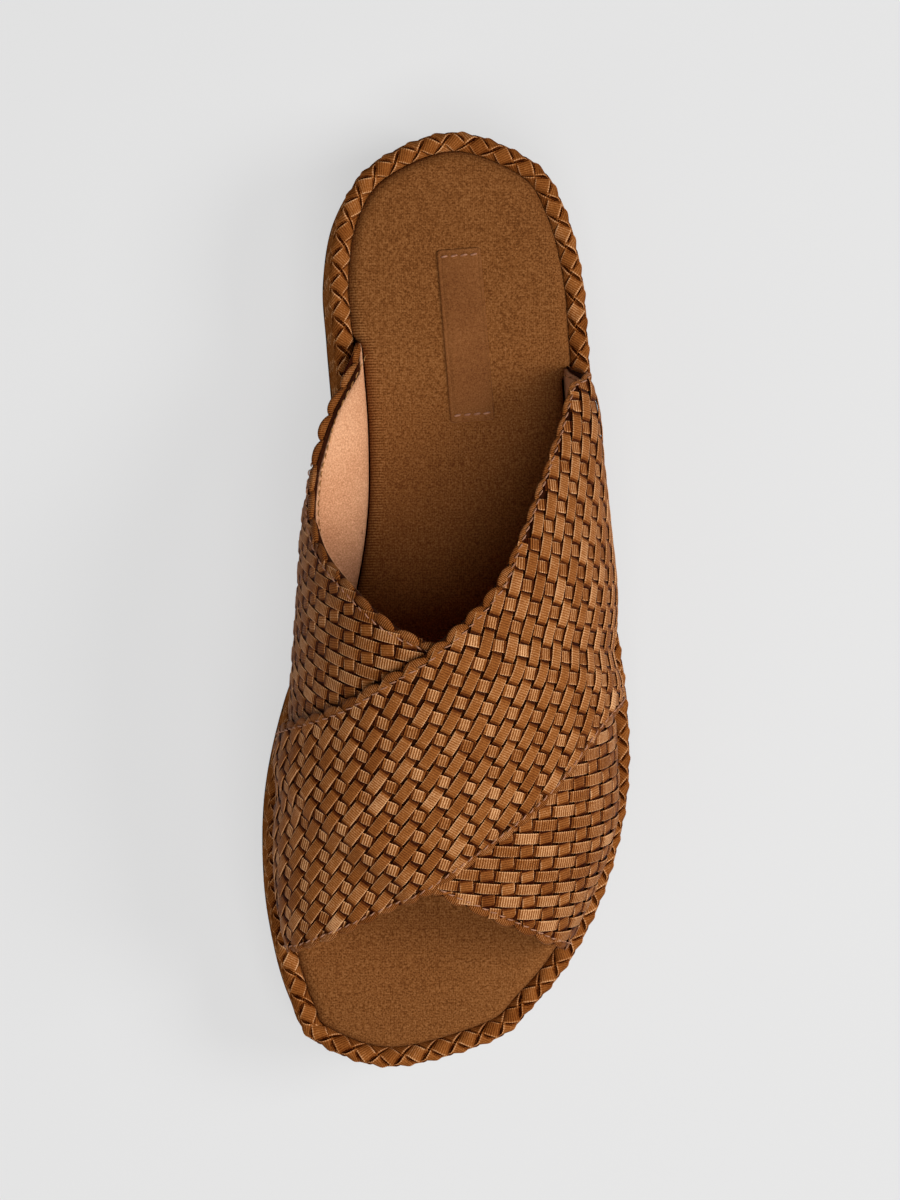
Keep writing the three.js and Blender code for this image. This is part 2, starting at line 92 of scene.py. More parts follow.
# Weave of each band on the flattened last: the step across the warp and across the weft ribbons,
# the bow of the ribbons towards the heel on both sides of a place across, and their turn towards
# the medial side behind TURN_FROM
WEAVES = {
    "over": (np.array([3.14, -1.27]), np.array([3.07, 4.4]), 0.0023, -20.0, 0.003),
    "under": (np.array([0.25, -3.53]), np.array([5.62, -0.59]), 0.003, 12.0, 0.0),
}
TURN_FROM = -55.0


def smoothstep(x, low, high):
    share = np.clip((x - low) / (high - low), 0, 1)
    return share * share * (3 - 2 * share)


def lerp(a, b, share):
    return a + (b - a) * share


def unit(vectors):
    return vectors / np.maximum(np.linalg.norm(vectors, axis=-1, keepdims=True), 1e-9)


def column(rows, index):
    """Smooth curve through one column of a table, by its first column."""
    keys, values = rows[:, 0], rows[:, index]
    last = len(keys) - 1
    before = np.maximum(np.arange(len(keys)) - 1, 0)
    after = np.minimum(np.arange(len(keys)) + 1, last)
    slopes = (values[after] - values[before]) / (keys[after] - keys[before])

    def curve(at):
        at = np.asarray(at, float)
        i = np.clip(np.searchsorted(keys, at) - 1, 0, last - 1)
        span = keys[i + 1] - keys[i]
        s = np.clip((at - keys[i]) / span, 0, 1)
        bend = s * (1 - s) ** 2 * span * slopes[i] - s * s * (1 - s) * span * slopes[i + 1]
        return lerp(values[i], values[i + 1], s * s * (3 - 2 * s)) + bend

    return curve


drop, top_spring, floor_spring = (column(PROFILE, i) for i in (1, 2, 3))
medial_at, lateral_at, side_at, crown_across_at, crown_height_at = (
    column(SECTIONS, i) for i in range(1, 6)
)
edge_share = {
    ("over", "collar"): column(BANDS, 1), ("over", "front"): column(BANDS, 2),
    ("under", "collar"): column(BANDS, 3), ("under", "front"): column(BANDS, 4),
}


def edge_y(band, edge, around):
    return edge_share[band, edge](np.clip(around, 0, 1)) * LENGTH


def floor_height(y):
    return np.maximum(0, floor_spring(y / LENGTH) * TOE_SPRING)


def platform_top(y):
    footbed = lerp(HEEL_HEIGHT, BALL_HEIGHT, drop(y / LENGTH))
    return footbed - INSOLE_THICKNESS + top_spring(y / LENGTH) * TOE_SPRING


def path_lengths(points):
    steps = np.linalg.norm(np.diff(points, axis=0), axis=1)
    return np.concatenate([[0], np.cumsum(steps)])


def along_line(at, reach, line, period=None):
    """Points of a line at distances along it."""
    return np.stack([np.interp(at, reach, values, period=period) for values in line.T], -1)


def spline(points, pieces, closed=False):
    """Catmull-Rom curve through points, as a dense line."""
    if closed:
        before, after, later = (np.roll(points, n, axis=0) for n in (1, -1, -2))
    else:
        padded = np.vstack([2 * points[0] - points[1], points, 2 * points[-1] - points[-2]])
        before, points, after, later = padded[:-3], padded[1:-2], padded[2:-1], padded[3:]
    s = np.linspace(0, 1, pieces, endpoint=False)[None, :, None]
    rise = s * s * (3 - 2 * s)
    leave = s * (1 - s) ** 2 * (after - before)[:, None] / 2
    arrive = s * s * (1 - s) * (later - points)[:, None] / 2
    dense = (points[:, None] * (1 - rise) + after[:, None] * rise + leave - arrive).reshape(-1, 2)
    return dense if closed else np.vstack([dense, after[-1]])


def sole_outline(count):
    """Evenly spaced points of the rim's outline, from the heel tip round by the medial side."""
    medial = OUTLINE[:, [1, 0]]
    lateral = OUTLINE[::-1, [2, 0]]
    shares = np.vstack([HEEL_TIP, medial, TOE_TIP, lateral])
    dense = spline(shares * np.array([BALL_WIDTH, LENGTH]), 80, closed=True)
    low, high = dense.min(0), dense.max(0)
    dense = (dense - (low + high) / 2) * np.array([BALL_WIDTH, LENGTH]) / (high - low)
    dense = np.vstack([dense, dense[:1]])
    reach = path_lengths(dense)
    at = np.linspace(0, reach[-1], count, endpoint=False)
    return along_line(at, reach, dense)


def outward_of(outline):
    along = unit(np.roll(outline, -1, axis=0) - np.roll(outline, 1, axis=0))
    return np.stack([along[:, 1], -along[:, 0]], -1)


RIM_COUNT = 1600
RIM = sole_outline(RIM_COUNT)
RIM_OUT = outward_of(RIM)
PERIMETER = path_lengths(np.vstack([RIM, RIM[:1]]))[-1]
RIM_AT = np.arange(RIM_COUNT) * PERIMETER / RIM_COUNT


def beside_rim(u, out):
    """Points a distance outside the rim's outline, u mm round from the heel tip."""
    x, y, nx, ny = (
        np.interp(u, RIM_AT, values, period=PERIMETER) for values in (*RIM.T, *RIM_OUT.T)
    )
    return x + nx * out, y + ny * out


# The last, which is the inner face of the bands
ROOT = RIM - RIM_OUT * (WELT_WIDTH + 2 * GAP + ROOT_WALL)
HALF = RIM_COUNT // 2


def last_point(around, y):
    """Point of the last: around from 0 at the medial root over the crown to 1 at the lateral root."""
    along = y / LENGTH
    lateral = around > 0.5
    climb = np.where(lateral, 1 - around, around)
    root_medial = np.interp(y, ROOT[:HALF, 1][::-1], ROOT[:HALF, 0][::-1])
    root_lateral = np.interp(y, ROOT[HALF:, 1], ROOT[HALF:, 0])
    root = np.where(lateral, root_lateral, root_medial)
    wide = np.where(lateral, lateral_at(along), medial_at(along)) * BALL_WIDTH
    side = side_at(along) * INSTEP_HEIGHT + INSOLE_THICKNESS
    crown_height = crown_height_at(along) * INSTEP_HEIGHT + INSOLE_THICKNESS
    share = np.clip((climb - ROOT_SHARE) / (SIDE_SHARE - ROOT_SHARE), 0, 1)
    low_x = lerp(root, wide, share * share * (3 - 2 * share))
    low_z = np.where(climb < ROOT_SHARE, climb / ROOT_SHARE * ROOT_HEIGHT, lerp(ROOT_HEIGHT, side, share))
    angle = np.maximum((climb - SIDE_SHARE) / (0.5 - SIDE_SHARE), 0) * math.pi / 2
    high_x = lerp(crown_across_at(along) * BALL_WIDTH, wide, np.cos(angle))
    high_z = lerp(side, crown_height, np.sin(angle))
    high = climb >= SIDE_SHARE
    z = platform_top(y) + GAP + np.where(high, high_z, low_z)
    return np.stack([np.where(high, high_x, low_x), y, z], -1)


def wall_point(around, y, outward):
    """Point a distance outward from the last, along its normal."""
    da, dy = 0.002, 0.5
    across = last_point(around + da, y) - last_point(around - da, y)
    along = last_point(around, y + dy) - last_point(around, y - dy)
    normal = unit(np.cross(across, along))
    return last_point(around, y) + normal * np.asarray(outward)[..., None]


# The last laid flat: distance from the crown round each section, and back
FLAT_Y = np.arange(-120.0, 100.0, 1.0)
FLAT_AROUND = np.linspace(-0.06, 1.06, 449)
FLAT_DISTANCE = np.arange(-120.0, 120.0, 0.25)


def flat_tables():
    """Distance from the crown by around, and around by distance, a row for each FLAT_Y."""
    there, back = [], []
    for y in FLAT_Y:
        line = last_point(FLAT_AROUND, np.full(len(FLAT_AROUND), y))
        reach = path_lengths(line)
        reach -= np.interp(0.5, FLAT_AROUND, reach)
        there.append(reach)
        back.append(np.interp(FLAT_DISTANCE, reach, FLAT_AROUND))
    return np.array(there), np.array(back)


FLAT_THERE, FLAT_BACK = flat_tables()


def table_at(table, keys, y, at):
    """Bilinear look-up in a table whose rows are FLAT_Y."""
    row = np.clip((y - FLAT_Y[0]) / (FLAT_Y[1] - FLAT_Y[0]), 0, len(FLAT_Y) - 1.001)
    place = np.clip((at - keys[0]) / (keys[1] - keys[0]), 0, len(keys) - 1.001)
    i, j = row.astype(int), place.astype(int)
    s, t = row - i, place - j
    lower = lerp(table[i, j], table[i, j + 1], t)
    return lerp(lower, lerp(table[i + 1, j], table[i + 1, j + 1], t), s)


def distance_at(around, y):
    return table_at(FLAT_THERE, FLAT_AROUND, y, around)


def around_at(distance, y):
    return table_at(FLAT_BACK, FLAT_DISTANCE, y, distance)


def wall_at(around):
    return lerp(ROOT_WALL, WALL, smoothstep(np.minimum(around, 1 - around), ROOT_SHARE, SIDE_SHARE))


def band_lift(band, around, y):
    if band == "under":
        return np.zeros_like(y)
    inside = np.minimum(edge_y("under", "collar", around) - y, y - edge_y("under", "front", around))
    climb = np.minimum(around, 1 - around)
    return WALL * smoothstep(inside, -LIFT_RAMP, 0) * smoothstep(climb, ROOT_SHARE, SIDE_SHARE)


def band_place(band):
    """Maps the flattened last and a height over the band's mean outer face to points."""
    def place(p, y, height):
        around = around_at(p, y)
        return wall_point(around, y, band_lift(band, around, y) + wall_at(around) + height)
    return place


EDGE_STEP = 0.5
BATCH = 4000


def edge_line(band, edge):
    """A band's edge on the flattened last, as points every EDGE_STEP and inward normals."""
    around = np.linspace(0, 1, 900)
    y = edge_y(band, edge, around)
    line = np.stack([distance_at(around, y), y], -1)
    reach = path_lengths(line)
    at = np.arange(0, reach[-1], EDGE_STEP)
    line = along_line(at, reach, line)
    along = unit(np.gradient(line, axis=0))
    inward = np.stack([-along[:, 1], along[:, 0]], -1)
    return line, inward if edge == "front" else -inward


EDGES = {key: edge_line(*key) for key in edge_share}


def edge_length(band, edge):
    return (len(EDGES[band, edge][0]) - 1) * EDGE_STEP


def inside_band(band, p, y):
    """Distance inside the nearer of a band's two edges on the flattened last."""
    points = np.stack([p, y], -1)
    depths = []
    for edge in ("collar", "front"):
        line, inward = EDGES[band, edge]
        depth = np.empty(len(points))
        for start in range(0, len(points), BATCH):
            some = points[start:start + BATCH]
            nearest = ((some[:, None] - line[None]) ** 2).sum(-1).argmin(1)
            depth[start:start + BATCH] = ((some - line[nearest]) * inward[nearest]).sum(-1)
        depths.append(depth)
    return np.minimum(*depths)


# Meshes
def add_object(name, data):
    thing = bpy.data.objects.new(name, data)
    bpy.context.scene.collection.objects.link(thing)
    return thing


def add_mesh(name, points, faces, material, uv=None, shade=None):
    """A closed smooth mesh that rides on the sandal; faces is a list of index arrays, 3 or 4 wide."""
    points = np.asarray(points, float).reshape(-1, 3)
    faces = [np.asarray(some, int) for some in faces if len(some)]
    volume = 0.0
    for some in faces:
        for k in range(1, some.shape[1] - 1):
            a, b, c = (points[some[:, n]] for n in (0, k, k + 1))
            volume += (np.cross(a, b) * c).sum()
    if volume < 0:
        faces = [some[:, ::-1] for some in faces]
    corners = np.concatenate([some.ravel() for some in faces])
    sizes = np.concatenate([np.full(len(some), some.shape[1]) for some in faces])
    starts = np.concatenate([[0], np.cumsum(sizes)[:-1]])
    mesh = bpy.data.meshes.new(name)
    mesh.vertices.add(len(points))
    mesh.vertices.foreach_set("co", (points * MM).astype(np.float32).ravel())
    mesh.loops.add(len(corners))
    mesh.loops.foreach_set("vertex_index", corners.astype(np.int32))
    mesh.polygons.add(len(sizes))
    mesh.polygons.foreach_set("loop_start", starts.astype(np.int32))
    mesh.polygons.foreach_set("use_smooth", np.ones(len(sizes), bool))
    if uv is not None:
        layer = mesh.uv_layers.new(name="uv")
        layer.data.foreach_set("uv", np.asarray(uv, np.float32)[corners].ravel())
    if shade is not None:
        attribute = mesh.attributes.new("shade", "FLOAT", "POINT")
        attribute.data.foreach_set("value", np.asarray(shade, np.float32))
    mesh.update()
    mesh.materials.append(material)
    piece = add_object(name, mesh)
    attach(piece, "root")
    return piece


# Section of a flat ribbon: shares of its width across, millimetres up
RIBBON_SECTION = np.array([
    (-0.5, -0.16), (-0.465, 0.13), (-0.37, 0.21), (0.37, 0.21), (0.465, 0.13), (0.5, -0.16),
    (0.3, -0.26), (-0.3, -0.26),
])
# Painted light across a ribbon's section: the lighter top edges are a painted highlight, the darker sides
# and underside painted shade
RIBBON_PAINTED_LIGHT = np.array([-0.5, 0.34, 0.0, 0.0, 0.34, -0.5, -0.6, -0.6])
RIBBON_CAP = np.array([(0, 1, 2, 7), (2, 3, 6, 7), (3, 4, 5, 6)])


def lay_ribbons(name, place, turn, a, b, height, width, run, shade, material):
    """Ribbons along sampled paths on a surface; run numbers the ribbon that each sample is on."""
    index = np.arange(len(run))
    first = np.r_[True, run[1:] != run[:-1]]
    last = np.r_[run[1:] != run[:-1], True]
    centre = place(a, b, height)
    along = unit(centre[np.where(last, index, index + 1)] - centre[np.where(first, index, index - 1)])
    step = 0.4
    normal = np.cross(
        place(a + step, b, height * 0) - place(a - step, b, height * 0),
        place(a, b + step, height * 0) - place(a, b - step, height * 0),
    ) * turn
    normal = unit(normal - along * (normal * along).sum(-1, keepdims=True))
    across = np.cross(normal, along)
    points = (
        centre[:, None]
        + across[:, None] * (RIBBON_SECTION[:, 0] * width[:, None])[..., None]
        + normal[:, None] * RIBBON_SECTION[:, 1][None, :, None]
    )
    ring = len(RIBBON_SECTION)
    here = index[~last] * ring
    quads = [
        np.stack([here + j, here + ring + j, here + ring + (j + 1) % ring, here + (j + 1) % ring], -1)
        for j in range(ring)
    ]
    starts = (index[first] * ring)[:, None, None] + RIBBON_CAP[:, ::-1][None]
    ends = (index[last] * ring)[:, None, None] + RIBBON_CAP[None]
    faces = np.concatenate([*quads, starts.reshape(-1, 4), ends.reshape(-1, 4)])
    gone = np.r_[0, np.linalg.norm(np.diff(centre, axis=0), axis=1)]
    reach = np.cumsum(np.where(first, 0, gone))
    reach = reach - reach[np.maximum.accumulate(np.where(first, index, 0))]
    uv = np.stack([
        np.repeat(reach[:, None], ring, 1), np.tile(RIBBON_SECTION[:, 0] + 0.5, (len(run), 1)),
    ], -1)
    # Adds the painted highlight on the top edges and the painted shade on the sides and underside to each
    # ribbon's shade
    shades = (shade[:, None] + RIBBON_PAINTED_LIGHT).ravel()
    add_mesh(name, points, [faces], material, uv.reshape(-1, 2), shades)


def add_beads(name, centre, wide, thick, sides, material, shade=None):
    """Closed beads: rings of an ellipse with half axes wide and thick along each row of centres."""
    count, rings = centre.shape[:2]
    angles = np.arange(sides) * 2 * math.pi / sides
    points = (
        centre[:, :, None]
        + wide[:, :, None] * np.cos(angles)[None, None, :, None]
        + thick[:, :, None] * np.sin(angles)[None, None, :, None]
    )
    index = np.arange(count * rings * sides).reshape(count, rings, sides)
    after = np.roll(index, -1, axis=2)
    quads = np.stack([index[:, :-1], index[:, 1:], after[:, 1:], after[:, :-1]], -1).reshape(-1, 4)
    caps = []
    for k in range(sides // 2 - 1):
        corners = [k, k + 1, sides - 2 - k, sides - 1 - k]
        caps.append(index[:, 0][:, corners])
        caps.append(index[:, -1][:, corners[::-1]])
    along_round = np.meshgrid(np.arange(rings), np.arange(sides) / sides, indexing="ij")
    uv = np.tile(np.stack(along_round, -1).reshape(-1, 2), (count, 1))
    shades = None if shade is None else np.repeat(shade.reshape(-1), sides)
    add_mesh(name, points, [quads, *caps], material, uv, shades)


def grid_quads(grid):
    """Quads between the rows and columns of a grid of indices."""
    return np.stack([grid[:-1, :-1], grid[:-1, 1:], grid[1:, 1:], grid[1:, :-1]], -1).reshape(-1, 4)


def ring_quads(index):
    """Quads between closed rings of indices, a row for each ring."""
    after = np.roll(index, -1, axis=1)
    return np.stack([index[:-1], after[:-1], after[1:], index[1:]], -1).reshape(-1, 4)


def fan_pairs(count):
    """Quads and triangles that close a ring of points by strips between its two sides."""
    quads, triangles = [], []
    for i in range(count // 2):
        left, right = (i, i + 1), ((count - i) % count, count - i - 1)
        corners = [left[0], left[1], right[1], right[0]]
        kept = list(dict.fromkeys(corners))
        if len(kept) == 4:
            quads.append(kept)
        elif len(kept) == 3:
            triangles.append(kept)
    return np.array(quads), np.array(triangles)


def ring_piece(name, rings, material):
    """A solid of stacked rings of equal count, closed at both ends."""
    count = rings[0].shape[0]
    points = np.vstack(rings)
    sides = ring_quads(np.arange(len(points)).reshape(len(rings), count))
    quads, triangles = fan_pairs(count)
    top = (len(rings) - 1) * count
    faces = [sides, quads[:, ::-1], quads + top, triangles[:, ::-1], triangles + top]
    return add_mesh(name, points, faces, material, points[:, :2])


# Materials
WHITE, GLINT = (1, 1, 1, 1), (1.0, 0.62, 0.36, 1.0)


def set_inputs(node, **values):
    for name, value in values.items():
        node.inputs[name.replace("_", " ")].default_value = value


def new_material(name, roughness, specular, tint):
    material = bpy.data.materials.new(name)
    material.use_nodes = True
    shader = material.node_tree.nodes["Principled BSDF"]
    set_inputs(shader, Roughness=roughness, Specular_IOR_Level=specular, Specular_Tint=tint)
    return material, material.node_tree, shader


def add_wave(tree, coordinate, direction, pitch, distortion, detail_scale):
    wave = tree.nodes.new("ShaderNodeTexWave")
    wave.bands_direction = direction
    set_inputs(wave, Scale=math.pi / 10 / pitch, Distortion=distortion, Detail_Scale=detail_scale)
    tree.links.new(coordinate, wave.inputs["Vector"])
    return wave.outputs["Fac"]


def add_noise(tree, coordinate, scale, detail=3.0):
    noise = tree.nodes.new("ShaderNodeTexNoise")
    set_inputs(noise, Scale=scale, Detail=detail)
    tree.links.new(coordinate, noise.inputs["Vector"])
    return noise.outputs["Fac"]


def weighted(tree, terms, offset):
    """offset plus the sum of each varying factor times its weight."""
    total = offset
    for factor, weight in terms:
        step = tree.nodes.new("ShaderNodeMath")
        step.operation = "MULTIPLY_ADD"
        tree.links.new(factor, step.inputs[0])
        step.inputs[1].default_value = weight
        if isinstance(total, float):
            step.inputs[2].default_value = total
        else:
            tree.links.new(total, step.inputs[2])
        total = step.outputs[0]
    return total


def colour_ramp(tree, factor, stops, shader):
    ramp = tree.nodes.new("ShaderNodeValToRGB")
    elements = ramp.color_ramp.elements
    while len(elements) < len(stops):
        elements.new(0.5)
    for element, (at, colour) in zip(elements, stops):
        element.position = at
        element.color = (*colour, 1)
    tree.links.new(factor, ramp.inputs["Fac"])
    tree.links.new(ramp.outputs["Color"], shader.inputs["Base Color"])


def add_bump(tree, height, distance, shader, strength=1.0, below=None):
    bump = tree.nodes.new("ShaderNodeBump")
    set_inputs(bump, Distance=distance, Strength=strength)
    tree.links.new(height, bump.inputs["Height"])
    if below is not None:
        tree.links.new(below, bump.inputs["Normal"])
    tree.links.new(bump.outputs["Normal"], shader.inputs["Normal"])
    return bump.outputs["Normal"]


def uv_of(tree):
    node = tree.nodes.new("ShaderNodeUVMap")
    node.uv_map = "uv"
    return node.outputs["UV"]


def object_place(tree):
    return tree.nodes.new("ShaderNodeTexCoord").outputs["Object"]


def shade_of(tree):
    node = tree.nodes.new("ShaderNodeAttribute")
    node.attribute_name = "shade"
    return node.outputs["Fac"]


# Colours over the ribbons' shade attribute: the dark end is painted shadow at crossings and gaps, the
# light end a painted highlight
RIBBON_STOPS = [
    (0.0, (0.022, 0.0025, 0.0005)), (0.3, (0.115, 0.028, 0.0045)), (0.62, (0.28, 0.093, 0.02)),
    (1.0, (0.72, 0.39, 0.185)),
]
CLOTH_STOPS = [
    (0.15, (0.095, 0.029, 0.006)), (0.5, (0.178, 0.062, 0.0155)), (0.9, (0.27, 0.11, 0.034)),
]


def ribbon_material(name, rib_pitch, rib_depth, rib_tone, specular=0.06):
    material, tree, shader = new_material(name, 0.6, specular, GLINT)
    uv, place = uv_of(tree), object_place(tree)
    ribs = add_wave(tree, uv, "X", rib_pitch, 0.6, 0.4)
    mottle = add_noise(tree, place, 420)
    fibre = add_noise(tree, place, 2400, 2.0)
    terms = [(shade_of(tree), 1.0), (ribs, rib_tone), (mottle, 0.2), (fibre, 0.45)]
    factor = weighted(tree, terms, -0.32 - rib_tone / 2)
    colour_ramp(tree, factor, RIBBON_STOPS, shader)
    fine = add_bump(tree, fibre, 0.00003, shader)
    add_bump(tree, ribs, rib_depth * MM, shader, below=fine)
    return material


SMOOTH = ribbon_material("ribbon_smooth", 0.66, 0.06, 0.2)
RIBBED = ribbon_material("ribbon_ribbed", 0.7, 0.11, 0.42)
PLAIT = ribbon_material("ribbon_plait", 0.6, 0.06, 0.2, 0.0)


def cloth_material():
    material, tree, shader = new_material("footbed_cloth", 0.85, 0.12, GLINT)
    uv, place, shade = uv_of(tree), object_place(tree), shade_of(tree)
    ribs = add_wave(tree, uv, "Y", 0.76, 0.8, 0.6)
    threads = add_wave(tree, uv, "X", 0.55, 1.2, 0.8)
    grain = add_noise(tree, place, 2100, 2.0)
    wear = add_noise(tree, place, 26)
    # Painted light along the footbed's medial edge: rib contrast as in grazing light, and darker cloth as
    # painted shade
    edge_rib_light = tree.nodes.new("ShaderNodeMath")
    edge_rib_light.operation = "MULTIPLY"
    tree.links.new(ribs, edge_rib_light.inputs[0])
    tree.links.new(shade, edge_rib_light.inputs[1])
    terms = [
        (ribs, 0.08), (threads, 0.1), (grain, 1.9), (wear, 0.25), (edge_rib_light.outputs[0], 0.6),
        (shade, -0.3),
    ]
    factor = weighted(tree, terms, -0.69)
    colour_ramp(tree, factor, CLOTH_STOPS, shader)
    fine = add_bump(tree, grain, 0.00005, shader)
    across = add_bump(tree, threads, 0.00002, shader, below=fine)
    add_bump(tree, ribs, 0.00002, shader, below=across)
    return material


def leather_material(name, dark, mid, light, grain_scale, roughness):
    material, tree, shader = new_material(name, roughness, 0.15, GLINT)
    place = object_place(tree)
    pores = tree.nodes.new("ShaderNodeTexVoronoi")
    set_inputs(pores, Scale=grain_scale)
    tree.links.new(place, pores.inputs["Vector"])
    grain = add_noise(tree, place, grain_scale * 1.7)
    cloud = add_noise(tree, place, 45)
    factor = weighted(tree, [(grain, 1.1), (cloud, 0.4)], -0.25)
    colour_ramp(tree, factor, [(0.25, dark), (0.5, mid), (0.78, light)], shader)
    fine = add_bump(tree, grain, 0.00003, shader)
    add_bump(tree, pores.outputs["Distance"], 0.00006, shader, 0.6, below=fine)
    return material


def plain_material(name, dark, light, scale, roughness, bump):
    material, tree, shader = new_material(name, roughness, 0.2, GLINT)
    place = object_place(tree)
    mottle = add_noise(tree, place, scale)
    colour_ramp(tree, mottle, [(0.3, dark), (0.7, light)], shader)
    add_bump(tree, add_noise(tree, place, scale * 6), bump, shader)
    return material


CLOTH = cloth_material()
LINING = leather_material(
    "lining_leather", (0.44, 0.19, 0.088), (0.6, 0.29, 0.15), (0.78, 0.43, 0.245), 1300, 0.62
)
LABEL = leather_material(
    "label_leather", (0.1, 0.03, 0.007), (0.165, 0.056, 0.0145), (0.24, 0.092, 0.028), 1500, 0.6
)
# Backing sheet and plait cores are parts of the build; their near-black colour is painted shade that
# darkens the gaps between ribbons
SHADOW_BACKING = plain_material(
    "backing_shadow_thread", (0.014, 0.0015, 0.0003), (0.036, 0.006, 0.001), 700, 0.9, 0.00008
)
THREAD = plain_material("thread_rose", (0.27, 0.11, 0.055), (0.47, 0.24, 0.15), 1200, 0.6, 0.00003)
THREAD_GOLD = plain_material("thread_gold", (0.2, 0.075, 0.02), (0.46, 0.23, 0.08), 1200, 0.6, 0.00003)
RUBBER = plain_material("outsole_rubber", (0.075, 0.03, 0.011), (0.12, 0.052, 0.02), 160, 0.7, 0.00006)


# Bands
def split_runs(kept):
    """Numbers the unbroken runs of True along each row; -1 where False."""
    starts = kept & ~np.pad(kept, ((0, 0), (1, 0)))[:, :-1]
    number = np.cumsum(starts.ravel()).reshape(kept.shape) - 1
    return np.where(kept, number, -1)


# Heights are over the band's mean outer face; the side and weft tones added to the shade of a ribbon are
# painted sheen and shade, set by the ribbon's direction and the side of the band
WARP_HIGH, WARP_LOW = 0.5, -0.5
WARP_FULLNESS = {"over": 3.4, "under": 3.0}
WEFT_SWING = 0.12
WARP_WIDTH = {"over": 2.84, "under": 3.0}
WEFT_WIDTH = {"over": 3.4, "under": 3.9}
FLOAT_SWELL = {"over": 0.08, "under": 0.07}
# Painted sheen and shade: weft and warp ribbons lighter or darker on either side of the band, as their
# ribs catch the side light
SIDE_SHEEN, WARP_SHEEN_SHARE = {"over": 0.06, "under": 0.0}, -0.4
WEFT_SHEEN = {"over": 0.0, "under": -0.06}
SHEEN_TURN = {"over": (10, 55), "under": (-30, 20)}
SHADE_RANGE = {"warp": (0.56, 0.97), "weft": (0.46, 0.82)}
LOW_SHADE, SHADE_GAIN = -0.04, 0.61
CELL_SPREAD, RIBBON_SPREAD, WIDTH_SPREAD = 0.06, 0.03, 0.012
SAMPLES, REACH, FLAT_LIMIT, OUTSIDE = 6, 72, 115, -9.0
ROOT_CUT, ROOT_SINK, COVERED = 0.012, -0.6, 6.0
EDGE_MARGIN, EDGE_DIP, DIP_WIDTH = 1.5, 0.5, 2.2
SHORTEST_RUN, STEEPEST = 8, 5.0


def band_ribbons(band, kind, material):
    """All the ribbons of one set on one band, each woven over and under the other set."""
    warp, weft, bow, middle, turn = WEAVES[band]
    step, run_step = (warp, weft) if kind == "warp" else (weft, warp)
    number = np.arange(-REACH, REACH + 1)
    t = np.arange(-REACH * SAMPLES, REACH * SAMPLES + 1) / SAMPLES
    p = number[:, None] * step[0] + t[None] * run_step[0]
    y = number[:, None] * step[1] + t[None] * run_step[1] + (BAND_REAR + BAND_FRONT) / 2 * LENGTH
    y = y + bow * (p - middle) ** 2
    p = p - turn * np.maximum(y - TURN_FROM, 0) ** 2
    kept = (np.abs(p) < FLAT_LIMIT) & (y > BAND_FRONT * LENGTH - 2) & (y < BAND_REAR * LENGTH + 2)
    around = around_at(p, y)
    kept &= (around > ROOT_CUT) & (around < 1 - ROOT_CUT)
    depth = np.full(p.shape, OUTSIDE)
    depth[kept] = inside_band(band, p[kept], y[kept])
    kept &= depth > EDGE_MARGIN
    if band == "under":
        cover = np.full(p.shape, OUTSIDE)
        cover[kept] = inside_band("over", p[kept], y[kept])
        kept &= cover < COVERED
    runs = split_runs(kept)
    sizes = np.bincount(runs[kept])
    kept &= sizes[runs] >= SHORTEST_RUN
    phase = np.cos(math.pi * (number[:, None] + t[None]))
    if kind == "warp":
        rise = 1 - ((1 - phase) / 2) ** WARP_FULLNESS[band]
        height = lerp(WARP_LOW, WARP_HIGH, rise)
    else:
        rise = (1 - phase) / 2
        height = -WEFT_SWING * phase
    cell = np.round(t).astype(int) + REACH
    tone = rng.normal(0, CELL_SPREAD, (len(number), 2 * REACH + 1))[:, cell]
    ribbon_tone = rng.normal(0, RIBBON_SPREAD, len(number))[:, None]
    climb = np.minimum(around, 1 - around)
    clear = smoothstep(climb, ROOT_SHARE, 2 * ROOT_SHARE)
    edge_dip = EDGE_DIP * (1 - smoothstep(depth, EDGE_MARGIN, EDGE_MARGIN + DIP_WIDTH))
    height = lerp(ROOT_SINK, height - edge_dip, clear)
    # Painted shade: darker where a ribbon dips under the other set, lighter along the top of its float
    shade = LOW_SHADE + SHADE_GAIN * smoothstep(rise, *SHADE_RANGE[kind]) + tone + ribbon_tone
    # Painted sheen and shade by the side of the band, opposite for weft and warp; the under band's weft
    # is darker as painted shade
    side_sheen = SIDE_SHEEN[band] * (1 - 2 * smoothstep(p, *SHEEN_TURN[band]))
    shade = shade + (side_sheen + WEFT_SHEEN[band] if kind == "weft" else WARP_SHEEN_SHARE * side_sheen)
    width = (WARP_WIDTH if kind == "warp" else WEFT_WIDTH)[band]
    swell = FLOAT_SWELL[band] * smoothstep(rise, 0.7, 1.0) * (kind == "warp")
    widths = width * (1 + rng.normal(0, WIDTH_SPREAD, len(number)))[:, None] * (1 + swell)
    lay_ribbons(
        f"{band}_{kind}_ribbons", band_place(band), 1, p[kept], y[kept], height[kept], widths[kept],
        runs[kept], shade[kept], material,
    )


def edge_slant(band, edge, around):
    """Length along Y of a millimetre square to a band's edge."""
    step = 0.004
    a, b = np.clip(around - step, 0, 1), np.clip(around + step, 0, 1)
    from_y, to_y = edge_y(band, edge, a), edge_y(band, edge, b)
    run = distance_at(b, to_y) - distance_at(a, from_y)
    return np.hypot(1, np.clip((to_y - from_y) / run, -STEEPEST, STEEPEST))


